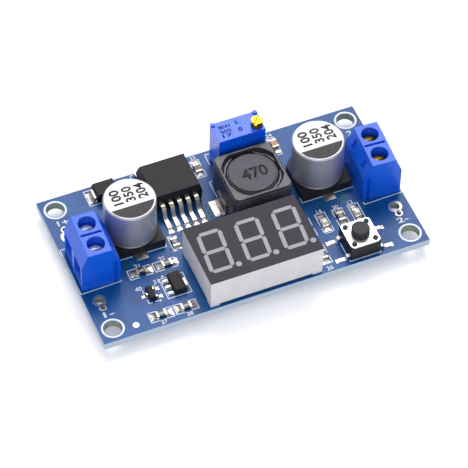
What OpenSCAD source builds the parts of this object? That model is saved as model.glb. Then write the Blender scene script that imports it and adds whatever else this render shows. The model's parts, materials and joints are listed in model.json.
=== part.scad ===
// Step-down converter module with a three-digit voltage meter.
// Origin: centre of the mounting holes on the board's underside. +Z up, input at -X, output at +X.

/* [Board] */
// Length of the circuit board along X
board_l = 66; // [64:0.5:72]
// Width of the circuit board along Y
board_w = 36; // [35:0.5:42]
// Thickness of the circuit board
board_t = 1.6; // [1:0.1:2.4]
// Bore of each mounting hole
mount_d = 3.4; // [2.6:0.1:3.8]
// Distance of a mounting hole's centre from the board's ends
mount_inset_x = 2.8; // [2.4:0.1:3.2]
// Distance of a mounting hole's centre from the board's sides
mount_inset_y = 2.9; // [2.5:0.1:3.2]
// Bore of the plated hole for a soldered wire
wire_d = 1.75; // [1.2:0.05:2.1]
// Distance of the wire holes from the board's centre line
wire_y = 8.2; // [7.6:0.1:8.6]
// Bore of the small hole beside each wire hole
via_d = 0.95; // [0.6:0.05:1.1]
// Distance from a wire hole to its small hole
via_gap = 1.8; // [1.7:0.1:2]
// How far the clipped pins stand out below the board
pin_tail = 1.8; // [1.5:0.1:2.6]

/* [Terminal blocks] */
// Length of a terminal block along its two poles
block_l = 10.16; // [10:0.02:10.6]
// Depth of a terminal block from its wire side to its back
block_d = 7.65; // [7.4:0.05:8]
// Height of a terminal block above the board
block_h = 9.8; // [9.6:0.1:10.6]
// Distance of the input terminal block from the board's centre along X
input_block_x = 28.4; // [28.2:0.05:28.9]
// Distance of the output terminal block from the board's centre along X
output_block_x = 29.05; // [28.6:0.05:29.1]
// Distance between the two poles
pole_pitch = 5.08; // [5:0.02:5.16]
// How far the input block sits turned on its pins, in degrees
input_turn = -2; // [-4:0.5:4]
// How far the output block sits turned on its pins, in degrees
output_turn = -3.3; // [-4:0.1:4]
// Bore of the well above each screw
well_d = 3.4; // [3.3:0.05:3.6]
// Diameter of the clamp screw's head
screw_head_d = 3; // [2.8:0.05:3.1]
// Diameter of the clamp screw's shank
screw_d = 2.4; // [2.2:0.05:2.5]
// Travel of the clamp from open to shut
clamp_travel = 1.95; // [1.6:0.05:1.95]

/* [Capacitors] */
// Diameter of a capacitor's can
can_d = 10.1; // [9:0.1:10.2]
// Height of a capacitor above the board
can_h = 10.4; // [9:0.1:13]
// Side of the square base under a can
can_base = 10.3; // [10:0.1:10.8]
// Distance of the capacitors from the board's centre line
can_y = 4.5; // [4:0.1:5]
// Distance of the capacitors from each other, halved
can_x = 19.2; // [19:0.05:19.4]
// How far both capacitors sit towards the output
can_shift = 0.15; // [0:0.05:0.2]

/* [Regulator] */
// Width of the regulator's moulded body
reg_w = 10.2; // [9.8:0.1:10.3]
// Length of the regulator's moulded body
reg_l = 8.8; // [8:0.1:9]
// Height of the regulator above the board
reg_h = 4.5; // [4:0.1:5]
// Distance between the regulator's leads
reg_pitch = 1.7; // [1.6:0.02:1.8]

/* [Inductor] */
// Side of the inductor's square shield
coil_w = 12; // [11:0.1:12.4]
// Height of the inductor above the board
coil_h = 8; // [6:0.1:9]
// Diameter of the round core inside the shield
coil_core_d = 9.8; // [9:0.1:10]

/* [Trimmer] */
// Length of the trimmer
trim_l = 9.53; // [9:0.05:10]
// Depth of the trimmer
trim_w = 4.83; // [4.6:0.05:5.1]
// Height of the trimmer above the board
trim_h = 10.03; // [8:0.05:11]
// Diameter of the trimmer's adjusting screw
trim_screw_d = 2.2; // [1.8:0.05:2.3]
// How far the adjusting screw stands out of the trimmer
trim_screw_h = 1.5; // [1:0.1:2]

/* [Display] */
// Length of the three-digit display
disp_l = 22.6; // [22.2:0.1:23]
// Width of the display
disp_w = 14; // [13.8:0.1:14.4]
// Height of the display above the board
disp_h = 7.05; // [6:0.05:8]
// Distance between two digits
digit_pitch = 7.5; // [7.3:0.05:7.7]
// Height of a digit between the middles of its outer strokes
digit_h = 8.9; // [8.4:0.1:9.2]
// Width of a digit between the middles of its upright strokes
digit_w = 4.2; // [4:0.05:4.4]
// Width of a stroke
stroke = 0.8; // [0.6:0.05:0.95]
// Slant of the digits, in degrees
digit_slant = 5; // [0:0.5:6]

/* [Button] */
// Side of the push button's square base
button_w = 6; // [5.8:0.1:6.2]
// Height of the push button's cover above the board
button_h = 3.5; // [3.2:0.1:4]
// Diameter of the plunger
plunger_d = 3.5; // [3:0.05:3.6]
// Height of the plunger's top above the board
plunger_h = 5; // [4.4:0.1:6]
// Travel of the plunger
button_travel = 0.25; // [0.15:0.05:0.3]

/* [Small parts] */
// Length of a chip part
chip_l = 2; // [1.8:0.05:2.2]
// Width of a chip part
chip_w = 1.25; // [1.1:0.05:1.4]
// Height of a chip resistor
chip_h = 0.55; // [0.4:0.05:0.7]
// Length of the diode's moulded body
diode_l = 4.5; // [4.2:0.1:4.6]
// Width of the diode's moulded body
diode_w = 3.6; // [3.3:0.1:3.8]
// Height of the diode above the board
diode_h = 2.2; // [2:0.1:2.5]
// Length of the meter's controller under the board
ctrl_l = 6.5; // [6.4:0.1:6.8]
// Thickness of the meter's controller
ctrl_h = 1; // [0.8:0.05:1.1]

/* [Hidden] */
$fn = 48;

// Small amount by which a cut runs past a face
eps = 0.05;
// Running clearance around a turning or sliding pin
run_gap = 0.05;

// Terminal block, in its own frame: +X is the wire side, Y runs along the poles
block_at = [[-input_block_x, -0.1], [output_block_x, 0.12]];
block_back_h = block_h - 3.6;       // top of the upright back wall
block_front_h = block_h - 3.3;      // top of the upright wire side
block_top_back = -block_d / 2 + 1.6;
block_top_front = block_d / 2 - 1.35;
well_x = 0.1;
well_depth = 2;                     // from the block's top to an open screw's head
pole_w = 3.9;                       // width of a pole's chamber
chamber_back = -2.4;
chamber_front = 2.3;
chamber_h = block_h - 4.8;
entry_sill = 1.5;
web_slot = 0.45;
web_slot_l = 4.1;
web_slot_depth = 1.5;
notch_w = 0.8;
notch_l = 2;
groove_w = 0.55;
groove_depth = 0.45;
groove_x = -block_d / 2 + 1;

// Contact, clamp and screw of one pole
contact_w = 2.8;
contact_back = -2.2;
contact_front = 1.8;
contact_sheet = 0.5;
contact_nut = 1;                    // thickness of the threaded top
contact_base = 0.3;                 // height of the contact above the board
clamp_sheet = 0.4;
clamp_lip = 0.3;
clamp_gap = 0.1;
clamp_back = contact_back + contact_sheet + clamp_gap + 0.1;
clamp_front = contact_front - 0.3;
head_h = 1.15;
head_top = block_h - well_depth;    // of an open screw
nut_top = head_top - head_h - clamp_travel - clamp_gap;
nut_base = nut_top - contact_nut;
clamp_top = nut_base - clamp_gap;
slot_w = 0.6;
slot_depth = 0.6;
pin_w = 0.9;
block_pin_hole = 1.4;

// Capacitor
can_seat = 1;                       // height of the can's floor above the board
can_rim = 1.9;                      // height of the base's corner posts
can_edge_r = 0.35;
can_neck_h = 2.05;
can_neck_r = 0.35;
can_gap = 0.05;
can_corner = 2.2;
can_lead_w = 1;
can_lead_t = 0.2;
can_lead_out = 0.75;

// Regulator
reg_x = -8.25;
reg_back_gap = 1.85;                // from the board's edge to the moulded body
reg_y = board_w / 2 - reg_back_gap - reg_l / 2;
reg_parting = 2.6;                  // height of the widest line of the body
reg_draft = 0.55;
reg_draft_front = 0.12;
reg_tab_t = 1.3;
reg_tab_out = 1.35;
reg_tab_w = reg_w - 0.2;
reg_lead_w = 0.8;
reg_lead_t = 0.45;
reg_lead_out = 0.95;
reg_foot = 1.9;
reg_lead_angle = 68;

// Display
disp_gap = 0.55;                    // from the board's edge to the display
disp_x = -0.35;
disp_y = -board_w / 2 + disp_gap + disp_w / 2;
face_t = 0.15;
disp_foot = 0.4;
disp_foot_l = 1.9;
carrier_t = 1.6;
carrier_base = 0.9;
carrier_wall = 0.9;
disp_pin_w = 0.5;
disp_pin_pitch = 2.54;
disp_row = 10.16;
disp_columns = 6;
disp_pin_hole = 0.9;
digit_shift = -0.03;
point_d = 1.15;
point_gap = 0.95;

// Inductor
coil_x = 5.65;
coil_y = disp_y + disp_w / 2 + 1.4 + coil_w / 2;
coil_corner_r = 1.3;
coil_bevel = 0.45;
coil_wall = 0.7;
coil_recess = 0.35;                 // the core's top lies below the shield's
coil_flange = 1.3;
coil_waist_d = 4.6;
coil_bottom = 0.5;
coil_clip_w = 4;
coil_clip_t = 0.25;
coil_clip_h = 2.6;
coil_clip_foot = 0.7;
coil_clip_under = 1.6;

// Trimmer
trim_back_gap = 2;
trim_x = 6.6;
trim_y = board_w / 2 - trim_back_gap - trim_w / 2;
trim_foot = 0.5;
trim_nub = 0.35;
trim_nub_w = 0.75;
trim_screw_x = trim_l / 2 - 1.2;
trim_screw_y = -trim_w / 2 + 1.5;
trim_bore_depth = 3;
trim_slot = 0.5;
trim_pin_d = 0.6;
trim_pin_pitch = 2.54;
trim_pin_hole = 0.9;

// Button
button_x = 20.15;
button_y = -board_w / 2 + 3.95;
button_cover_t = 0.25;
button_post_d = 1;
button_post = 2.15;                 // place of a post along X and Y
button_post_up = 0.2;
button_well_d = 4.5;
button_floor = 1;
button_flange_t = 0.6;
button_dome_h = 0.4;
button_dome_d = 4.2;
button_dome_t = 0.12;
button_lead_w = 0.7;
button_lead_t = 0.2;
button_lead_y = 2.25;
button_lead_up = 0.95;
button_lead_out = 0.5;
button_foot = 1.1;

// Diode
diode_x = -19.9;
diode_back_gap = 0.95;
diode_y = board_w / 2 - diode_back_gap - diode_w / 2;
diode_lead_w = 2.2;
diode_lead_t = 0.25;
diode_lead_out = 0.45;
diode_lead_up = 1.2;
diode_lead_under = 0.9;
diode_base = 0.1;

// Small chips: supply chip with a tab, three-lead transistor, controller with two rows of leads
supply_at = [-15.45, -board_w / 2 + 7.85];
supply_size = [2.5, 4.5, 1.5];
supply_lead_pitch = 1.5;
supply_lead_t = 0.4;
supply_lead_w = 0.45;
supply_lead_out = 0.95;
supply_tab_w = 1.7;
supply_tab_out = 0.6;
transistor_at = [-20.8, -board_w / 2 + 7.5];
transistor_size = [1.3, 2.9, 1];
transistor_lead_y = 0.95;
transistor_lead_w = 0.4;
transistor_lead_t = 0.13;
transistor_lead_up = 0.6;
transistor_lead_out = 0.22;
transistor_foot = 0.3;
ctrl_w = 4.4;
ctrl_pitch = 0.65;
ctrl_columns = 10;
ctrl_lead_w = 0.25;
ctrl_lead_t = 0.13;
ctrl_lead_up = 0.6;
ctrl_lead_out = 0.2;
ctrl_foot = 0.55;
ctrl_gap = 0.1;
ctrl_y = disp_y;
ctrl_x = disp_x;

// Chip parts: places of their centres from the board's long sides, those along X first
board_front = -board_w / 2;
board_back = board_w / 2;
chip_end = 0.4;
chip_cap_t = 0.03;
ceramic_h = 0.9;
lamp_base_h = 0.4;
lamp_h = 0.9;
lamp_lens_l = 1.2;
resistor_1_at = [-20.5, board_front + 13.15];
resistor_2_at = [-15.35, board_front + 13.15];
resistor_7_at = [-20.73, board_front + 2.45];
resistor_8_at = [-15.8, board_front + 2.45];
resistor_3_at = [-12.05, -0.8];
resistor_6_at = [disp_x + disp_l / 2 + 1.65, board_front + 4.05];
resistor_10_at = [19.5, board_front + 11.25];
capacitor_3_at = [-1.25, board_back - 3.6];
capacitor_4_at = [14.75, board_back - 3.7];
input_lamp_at = [16, board_front + 11.05];
output_lamp_at = [22.75, board_front + 10.95];

// Solder cones under the board
cone_h = 1.2;
cone_spread = 0.55;
cone_top_d = 0.5;

// ---------------------------------------------------------------- shared shapes

function arc(centre, r, from, to, steps) =
    [for (i = [0:steps]) centre + r * [cos(from + (to - from) * i / steps), sin(from + (to - from) * i / steps)]];

// Side view of a gull-wing lead: out along +X from height up, down through two bends to a foot
function gull(up, out, foot, t, r, angle) =
    let (
        drop = (up - 2 * r - 2 * t + (2 * r + t) * cos(angle)) / sin(angle),
        first = [out, up - t - r],
        second = [out + (2 * r + t) * sin(angle) + drop * cos(angle), t + r]
    )
    concat(
        [[0, up]],
        arc(first, r + t, 90, 90 - angle, 5),
        arc(second, r, 270 - angle, 270, 5),
        [[second[0] + foot, t], [second[0] + foot, 0]],
        arc(second, r + t, 270, 270 - angle, 5),
        arc(first, r, 90 - angle, 90, 5),
        [[0, up - t]]
    );

// Extrudes a side view in the XZ plane to a width along Y, centred
module across(width) {
    translate([0, width / 2, 0]) rotate([90, 0, 0]) linear_extrude(width) children();
}

// A block whose four sides lean in above and below its parting line, its -Y side by front
module moulded(l, w, h, parting, lean, front) {
    module side(size, first) {
        polygon([
            [-size / 2 + first / 3, 0], [-size / 2, parting], [-size / 2 + first, h],
            [size / 2 - lean, h], [size / 2, parting], [size / 2 - lean / 3, 0]
        ]);
    }
    intersection() {
        across(w + 1) side(l, lean);
        rotate([0, 0, 90]) across(l + 1) side(w, front ? front : lean);
    }
}

module rounded_square(size, r) {
    square([size, size - 2 * r], center = true);
    square([size - 2 * r, size], center = true);
    for (x = [-1, 1], y = [-1, 1])
        translate([x * (size / 2 - r), y * (size / 2 - r)]) circle(r);
}

module box(low, high) {
    translate(low) cube(high - low);
}

// ---------------------------------------------------------------- circuit board

module at_top(place = [0, 0]) {
    translate([place[0], place[1], board_t]) children();
}

module at_block(side) {
    if (side < 0) at_top(block_at[0]) rotate([0, 0, input_turn + 180]) children();
    else at_top(block_at[1]) rotate([0, 0, output_turn]) children();
}

module each_block_pin() {
    for (side = [-1, 1])
        at_block(side)
            for (pole = [-1, 1]) translate([0, pole * pole_pitch / 2, -board_t]) children();
}

// The display has two rows of pins, and the last place of the front row is empty
module each_display_pin() {
    for (row = [-1, 1], column = [0:disp_columns - 1])
        if (row > 0 || column < disp_columns - 1)
            translate([
                disp_x + (column - (disp_columns - 1) / 2) * disp_pin_pitch,
                disp_y + row * disp_row / 2, 0
            ]) children();
}

module each_trimmer_pin() {
    for (place = [-1:1]) translate([trim_x + place * trim_pin_pitch, trim_y, 0]) children();
}

module through(d) {
    translate([0, 0, -eps]) cylinder(h = board_t + 2 * eps, d = d);
}

module circuit_board() {
    color("#0f62a8") difference() {
        translate([-board_l / 2, -board_w / 2, 0]) cube([board_l, board_w, board_t]);
        for (x = [-1, 1], y = [-1, 1]) {
            translate([x * (board_l / 2 - mount_inset_x), y * (board_w / 2 - mount_inset_y), 0])
                through(mount_d);
            translate([x * (board_l / 2 - mount_inset_x), y * wire_y, 0]) {
                through(wire_d);
                translate([0, y * via_gap, 0]) through(via_d);
            }
        }
        each_block_pin() through(block_pin_hole);
        each_display_pin() through(disp_pin_hole);
        each_trimmer_pin() through(trim_pin_hole);
    }
}

module solder_cone(hole) {
    rotate([180, 0, 0]) cylinder(h = cone_h, d1 = hole + 2 * cone_spread, d2 = hole);
}

module solder_joints() {
    color("silver") {
        difference() {
            each_block_pin() solder_cone(block_pin_hole);
            each_block_pin() translate([0, 0, -pin_tail]) post(pin_w, pin_tail + eps);
        }
        difference() {
            each_display_pin() solder_cone(disp_pin_hole);
            each_display_pin() translate([0, 0, -pin_tail]) post(disp_pin_w, pin_tail + eps);
        }
        difference() {
            each_trimmer_pin() solder_cone(trim_pin_hole);
            each_trimmer_pin() translate([0, 0, -pin_tail]) cylinder(h = pin_tail + eps, d = trim_pin_d);
        }
    }
}

// A square pin standing on the origin
module post(w, h) {
    translate([-w / 2, -w / 2, 0]) cube([w, w, h]);
}

// ---------------------------------------------------------------- terminal blocks

module block_section() {
    polygon([
        [-block_d / 2, 0], [-block_d / 2, block_back_h], [block_top_back, block_h],
        [block_top_front, block_h], [block_d / 2, block_front_h], [block_d / 2, 0]
    ]);
}

// Side view of the space in one pole: chamber, funnel to the wire side and ramped sill
module pole_section() {
    polygon([
        [chamber_back, -eps], [chamber_back, chamber_h], [chamber_front, chamber_h],
        [block_d / 2 + eps, block_front_h - 0.15], [block_d / 2 + eps, entry_sill],
        [chamber_front, entry_sill + 0.5], [chamber_front - 0.6, -eps]
    ]);
}

module block_housing() {
    slope = atan2(block_top_back + block_d / 2, block_h - block_back_h);
    color("#1763d6") difference() {
        across(block_l) block_section();
        for (pole = [-1, 1]) translate([0, pole * pole_pitch / 2, 0]) {
            across(pole_w) pole_section();
            translate([well_x, 0, chamber_h - eps]) cylinder(h = block_h, d = well_d);
            // notch in the leaning back
            translate([(block_top_back - block_d / 2) / 2, 0, (block_h + block_back_h) / 2])
                rotate([0, slope, 0])
                    box([-notch_w, -notch_w / 2, -notch_l / 2], [groove_depth, notch_w / 2, notch_l / 2]);
            // open foot under the sill
            box([chamber_front - 0.4, -pole_w / 2, -eps], [block_d / 2 + eps, pole_w / 2, entry_sill / 2]);
        }
        box([well_x - web_slot_l / 2, -web_slot / 2, block_h - web_slot_depth],
            [well_x + web_slot_l / 2, web_slot / 2, block_h + eps]);
        for (end = [-1, 1]) translate([groove_x, end * block_l / 2, -eps])
            post_cut(groove_w, groove_depth, block_back_h);
    }
}

module post_cut(w, depth, h) {
    translate([-w / 2, -depth, 0]) cube([w, 2 * depth, h]);
}

// One contact is a folded strip: threaded top, back, floor and the pin through the board
module block_contacts() {
    color("#c8b070") for (pole = [-1, 1]) translate([0, pole * pole_pitch / 2, 0]) {
        difference() {
            across(contact_w) polygon([
                [contact_back, contact_base], [contact_back, nut_top], [contact_front, nut_top],
                [contact_front, nut_base], [contact_back + contact_sheet, nut_base],
                [contact_back + contact_sheet, contact_base + contact_sheet],
                [contact_front, contact_base + contact_sheet], [contact_front, contact_base]
            ]);
            translate([well_x, 0, nut_base - eps])
                cylinder(h = contact_nut + 2 * eps, d = screw_d + 2 * run_gap);
        }
        translate([0, 0, -board_t - pin_tail]) post(pin_w, board_t + pin_tail + contact_base);
    }
}

// The clamp is a channel that slides along the contact's edges
module pole_clamp(pole) {
    inner = contact_w / 2 + clamp_gap;
    color("#d6d6da") translate([0, pole * pole_pitch / 2, clamp_top - clamp_sheet])
        rotate([90, 0, 90]) translate([0, 0, clamp_back]) linear_extrude(clamp_front - clamp_back)
            polygon([
                [-inner - clamp_lip, 0], [-inner - clamp_lip, clamp_sheet + 0.9],
                [-inner, clamp_sheet + 0.9], [-inner, clamp_sheet], [inner, clamp_sheet],
                [inner, clamp_sheet + 0.9], [inner + clamp_lip, clamp_sheet + 0.9],
                [inner + clamp_lip, 0]
            ]);
}

module pole_screw(pole) {
    tip_gap = 0.02;
    color("#cfcfd2") translate([well_x, pole * pole_pitch / 2, 0]) difference() {
        rotate_extrude() polygon([
            [0, clamp_top + tip_gap], [screw_d / 2 - 0.3, clamp_top + tip_gap],
            [screw_d / 2, clamp_top + tip_gap + 0.3], [screw_d / 2, head_top - head_h],
            [screw_head_d / 2, head_top - head_h], [screw_head_d / 2, head_top - 0.25],
            [screw_head_d / 2 - 0.25, head_top], [0, head_top]
        ]);
        box([-screw_head_d, -slot_w / 2, head_top - slot_depth],
            [screw_head_d, slot_w / 2, head_top + eps]);
    }
}

module input_block_housing() { at_block(-1) block_housing(); }
module input_block_contacts() { at_block(-1) block_contacts(); }
module input_plus_clamp() { at_block(-1) pole_clamp(-1); }
module input_minus_clamp() { at_block(-1) pole_clamp(1); }
module input_plus_screw() { at_block(-1) pole_screw(-1); }
module input_minus_screw() { at_block(-1) pole_screw(1); }
module output_block_housing() { at_block(1) block_housing(); }
module output_block_contacts() { at_block(1) block_contacts(); }
module output_plus_clamp() { at_block(1) pole_clamp(1); }
module output_minus_clamp() { at_block(1) pole_clamp(-1); }
module output_plus_screw() { at_block(1) pole_screw(1); }
module output_minus_screw() { at_block(1) pole_screw(-1); }

// ---------------------------------------------------------------- capacitors

module at_can(side) {
    at_top([side * can_x + can_shift, can_y]) children();
}

// The can is drawn in one piece, with a rolled neck near its foot
module capacitor_can() {
    color("#c9ccd4") difference() {
        rotate_extrude($fn = 72) difference() {
            translate([0, can_seat]) union() {
                square([can_d / 2 - can_edge_r, can_h - can_seat]);
                square([can_d / 2, can_h - can_seat - can_edge_r]);
                translate([can_d / 2 - can_edge_r, can_h - can_seat - can_edge_r]) circle(can_edge_r);
            }
            translate([can_d / 2 + can_neck_r / 2, can_neck_h]) circle(can_neck_r);
        }
    }
}

module capacitor_base() {
    half = can_base / 2;
    color("#1b1b1e") difference() {
        translate([0, 0, can_lead_t]) linear_extrude(can_rim - can_lead_t) polygon([
            [-half, -half], [half, -half], [half, half - can_corner],
            [half - can_corner, half], [-half + can_corner, half], [-half, half - can_corner]
        ]);
        translate([0, 0, can_seat]) cylinder(h = can_rim, d = can_d + 2 * can_gap, $fn = 72);
    }
}

module capacitor_leads() {
    reach = can_base / 2 + can_lead_out;
    color("silver") for (end = [-1, 1])
        translate([-can_lead_w / 2, end > 0 ? 1 : -reach, 0])
            cube([can_lead_w, reach - 1, can_lead_t]);
}

module input_capacitor_can() { at_can(-1) capacitor_can(); }
module input_capacitor_base() { at_can(-1) capacitor_base(); }
module input_capacitor_leads() { at_can(-1) capacitor_leads(); }
module output_capacitor_can() { at_can(1) capacitor_can(); }
module output_capacitor_base() { at_can(1) capacitor_base(); }
module output_capacitor_leads() { at_can(1) capacitor_leads(); }

// ---------------------------------------------------------------- regulator

module regulator_body() {
    color("#26262a") difference() {
        at_top([reg_x, reg_y]) moulded(reg_w, reg_l, reg_h, reg_parting, reg_draft, reg_draft_front);
        regulator_tab_shape();
        regulator_lead_shapes();
    }
}

module regulator_tab_shape() {
    at_top([reg_x, reg_y]) translate([-reg_tab_w / 2, -reg_l / 2 + 1.2, 0])
        cube([reg_tab_w, reg_l - 1.2 + reg_tab_out, reg_tab_t]);
}

module regulator_tab() {
    color("#b9bac2") regulator_tab_shape();
}

module regulator_lead_shapes() {
    at_top([reg_x, reg_y - reg_l / 2 + 0.05]) rotate([0, 0, -90])
        for (lead = [-2:2]) translate([0, lead * reg_pitch, 0]) across(reg_lead_w)
            polygon(gull(reg_parting + reg_lead_t / 2, reg_lead_out, reg_foot, reg_lead_t,
                reg_lead_t, reg_lead_angle));
}

module regulator_leads() {
    color("#d8d5cf") regulator_lead_shapes();
}

// ---------------------------------------------------------------- inductor

module at_coil() {
    at_top([coil_x, coil_y]) children();
}

module coil_bore() {
    intersection() {
        circle(d = coil_w - 2 * coil_wall + 1.3, $fn = 72);
        square(coil_w - 2 * coil_wall, center = true);
    }
}

module inductor_shield() {
    color("#3a3a40") at_coil() difference() {
        translate([0, 0, coil_bottom]) union() {
            linear_extrude(coil_h - coil_bottom - coil_bevel) rounded_square(coil_w, coil_corner_r);
            translate([0, 0, coil_h - coil_bottom - coil_bevel - eps])
                linear_extrude(coil_bevel + eps)
                    rounded_square(coil_w - coil_bevel, coil_corner_r - coil_bevel / 2);
        }
        translate([0, 0, coil_bottom - eps]) linear_extrude(coil_h) coil_bore();
    }
}

module inductor_core() {
    waist = coil_h - coil_recess - 2 * coil_flange - coil_bottom;
    color("#4a4a52") at_coil() translate([0, 0, coil_bottom]) {
        cylinder(h = coil_flange, d = coil_core_d, $fn = 72);
        cylinder(h = coil_flange + waist + eps, d = coil_waist_d);
        translate([0, 0, coil_flange + waist]) {
            cylinder(h = coil_flange - 0.3, d = coil_core_d, $fn = 72);
            cylinder(h = coil_flange, d = coil_core_d - 0.6, $fn = 72);
        }
    }
}

module inductor_winding() {
    waist = coil_h - coil_recess - 2 * coil_flange - coil_bottom;
    color("#b5652b") at_coil() translate([0, 0, coil_bottom + coil_flange]) difference() {
        cylinder(h = waist, d = coil_core_d - 0.6, $fn = 72);
        translate([0, 0, -eps]) cylinder(h = waist + 2 * eps, d = coil_waist_d);
    }
}

// Each clip runs from a foot beside the shield under its floor, with a curved tongue up its side
module inductor_terminals() {
    side = coil_w / 2 + coil_clip_t;
    color("#c9c6c0") at_coil() for (end = [-1, 1]) rotate([0, 0, end < 0 ? 180 : 0])
        across(coil_clip_w) polygon([
            [side + coil_clip_foot, 0], [side + coil_clip_foot, coil_clip_t], [side, coil_clip_t],
            [side, coil_clip_h], [side - coil_clip_t, coil_clip_h],
            [side - coil_clip_t, coil_bottom], [side - coil_clip_under, coil_bottom],
            [side - coil_clip_under, 0]
        ]);
}

// ---------------------------------------------------------------- trimmer

module at_trimmer() {
    at_top([trim_x, trim_y]) children();
}

module trimmer_housing() {
    color("#1766e0") at_trimmer() difference() {
        union() {
            box([-trim_l / 2, -trim_w / 2, trim_foot], [trim_l / 2, trim_w / 2, trim_h]);
            for (x = [-1, 1]) {
                // feet that keep the floor clear of the solder
                for (y = [-1, 1])
                    translate([x * (trim_l / 2 - 0.5), y * (trim_w / 2 - 0.5), 0])
                        post(1, trim_foot + eps);
                // nubs on the two back corners
                translate([x * (trim_l / 2 - trim_nub_w / 2), trim_w / 2 - trim_nub_w / 2, trim_h - eps])
                    post(trim_nub_w, trim_nub + eps);
            }
        }
        translate([trim_screw_x, trim_screw_y, trim_h - trim_bore_depth])
            cylinder(h = trim_bore_depth + eps, d = trim_screw_d + 2 * run_gap);
    }
}

module trimmer_screw() {
    floor_gap = 0.02;
    color("#d9a520") at_trimmer()
        translate([trim_screw_x, trim_screw_y, trim_h - trim_bore_depth + floor_gap]) difference() {
            cylinder(h = trim_bore_depth + trim_screw_h - floor_gap, d = trim_screw_d);
            translate([0, 0, trim_bore_depth + trim_screw_h - floor_gap - trim_slot])
                rotate([0, 0, 50]) box([-trim_screw_d, -trim_slot / 2, 0], [trim_screw_d, trim_slot / 2, 1]);
        }
}

module trimmer_pins() {
    color("silver") each_trimmer_pin() translate([0, 0, -pin_tail])
        cylinder(h = pin_tail + board_t + trim_foot, d = trim_pin_d);
}

// ---------------------------------------------------------------- display

module at_display() {
    at_top([disp_x, disp_y]) children();
}

function slanted(points) = [for (p = points) [p[0] + p[1] * tan(digit_slant), p[1]]];

// A stroke with pointed ends, from one point to another, upright or level
function stroke_points(a, b) =
    let (
        along = (b - a) / norm(b - a),
        side = [-along[1], along[0]] * stroke / 2,
        tip = along * stroke / 2,
        gap = along * 0.08
    )
    [a + gap, a + gap + tip + side, b - gap - tip + side, b - gap, b - gap - tip - side,
        a + gap + tip - side];

module digit_outline() {
    w = digit_w / 2;
    h = digit_h / 2;
    strokes = [
        [[-w, h], [w, h]], [[w, h], [w, 0]], [[w, 0], [w, -h]], [[w, -h], [-w, -h]],
        [[-w, -h], [-w, 0]], [[-w, 0], [-w, h]], [[-w, 0], [w, 0]]
    ];
    for (s = strokes) polygon(slanted(stroke_points(s[0], s[1])));
    translate([w + point_gap - h * tan(digit_slant) / 2, -h]) circle(d = point_d, $fn = 24);
}

module lit_outline() {
    for (digit = [-1:1])
        translate([digit * digit_pitch + digit_shift, 0]) digit_outline();
}

module display_housing() {
    color("#e4e4ea") at_display() difference() {
        box([-disp_l / 2, -disp_w / 2, 0], [disp_l / 2, disp_w / 2, disp_h - face_t]);
        translate([0, 0, carrier_base]) linear_extrude(disp_h) lit_outline();
        box([-disp_l / 2 + carrier_wall, -disp_w / 2 + carrier_wall, -eps],
            [disp_l / 2 - carrier_wall, disp_w / 2 - carrier_wall, carrier_base + carrier_t]);
        // slits between the corner feet
        box([-disp_l / 2 + disp_foot_l, -disp_w, -eps], [disp_l / 2 - disp_foot_l, disp_w, disp_foot]);
        box([-disp_l, -disp_w / 2 + disp_foot_l, -eps], [disp_l, disp_w / 2 - disp_foot_l, disp_foot]);
    }
}

module display_face() {
    color("#1c1a20") at_display() translate([0, 0, disp_h - face_t]) linear_extrude(face_t)
        difference() {
            square([disp_l, disp_w], center = true);
            lit_outline();
        }
}

module display_segments() {
    base = carrier_base + carrier_t;
    color("#b9b7c0") at_display() translate([0, 0, base]) linear_extrude(disp_h - base) lit_outline();
}

module display_carrier() {
    fit = 0.05;
    color("#d8cf9a") difference() {
        at_display() box(
            [-disp_l / 2 + carrier_wall + fit, -disp_w / 2 + carrier_wall + fit, carrier_base],
            [disp_l / 2 - carrier_wall - fit, disp_w / 2 - carrier_wall - fit, carrier_base + carrier_t]);
        each_display_pin() translate([0, 0, -pin_tail])
            post(disp_pin_w, pin_tail + board_t + carrier_base + carrier_t / 2);
    }
}

module display_pins() {
    color("silver") each_display_pin() translate([0, 0, -pin_tail])
        post(disp_pin_w, pin_tail + board_t + carrier_base + carrier_t / 2);
}

// ---------------------------------------------------------------- button

module at_button() {
    at_top([button_x, button_y]) children();
}

module each_button_post() {
    for (x = [-1, 1], y = [-1, 1]) translate([x * button_post, y * button_post, 0]) children();
}

module button_base() {
    top = button_h - button_cover_t;
    color("#1d1d20") at_button() difference() {
        union() {
            box([-button_w / 2, -button_w / 2, 0.05], [button_w / 2, button_w / 2, top]);
            each_button_post() cylinder(h = button_h + button_post_up, d = button_post_d);
        }
        translate([0, 0, button_floor]) cylinder(h = button_h, d = button_well_d);
        button_lead_shapes();
    }
}

module button_cover() {
    color("#d5d6da") at_button() translate([0, 0, button_h - button_cover_t])
        linear_extrude(button_cover_t) difference() {
            rounded_square(button_w, 0.7);
            circle(d = plunger_d + 2 * run_gap);
            each_button_post() circle(d = button_post_d + run_gap);
        }
}

module button_plunger() {
    top_gap = 0.02;
    under = button_h - button_cover_t - top_gap;
    seat = button_floor + button_dome_h;
    color("#2c2a30") at_button() rotate_extrude() polygon([
        [0, seat + top_gap], [0.8, seat + top_gap], [0.8, under - button_flange_t],
        [button_well_d / 2 - run_gap, under - button_flange_t],
        [button_well_d / 2 - run_gap, under], [plunger_d / 2, under],
        [plunger_d / 2, plunger_h - 0.2], [plunger_d / 2 - 0.2, plunger_h], [0, plunger_h]
    ]);
}

module button_dome() {
    // radius of the cap through its rim and its crown
    r = (pow(button_dome_d / 2, 2) + pow(button_dome_h, 2)) / (2 * button_dome_h);
    color("#c7c7cc") at_button() translate([0, 0, button_floor + 0.005]) intersection() {
        translate([0, 0, button_dome_h - r]) difference() {
            sphere(r, $fn = 96);
            sphere(r - button_dome_t, $fn = 96);
        }
        cylinder(h = button_dome_h, d = button_dome_d);
    }
}

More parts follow.
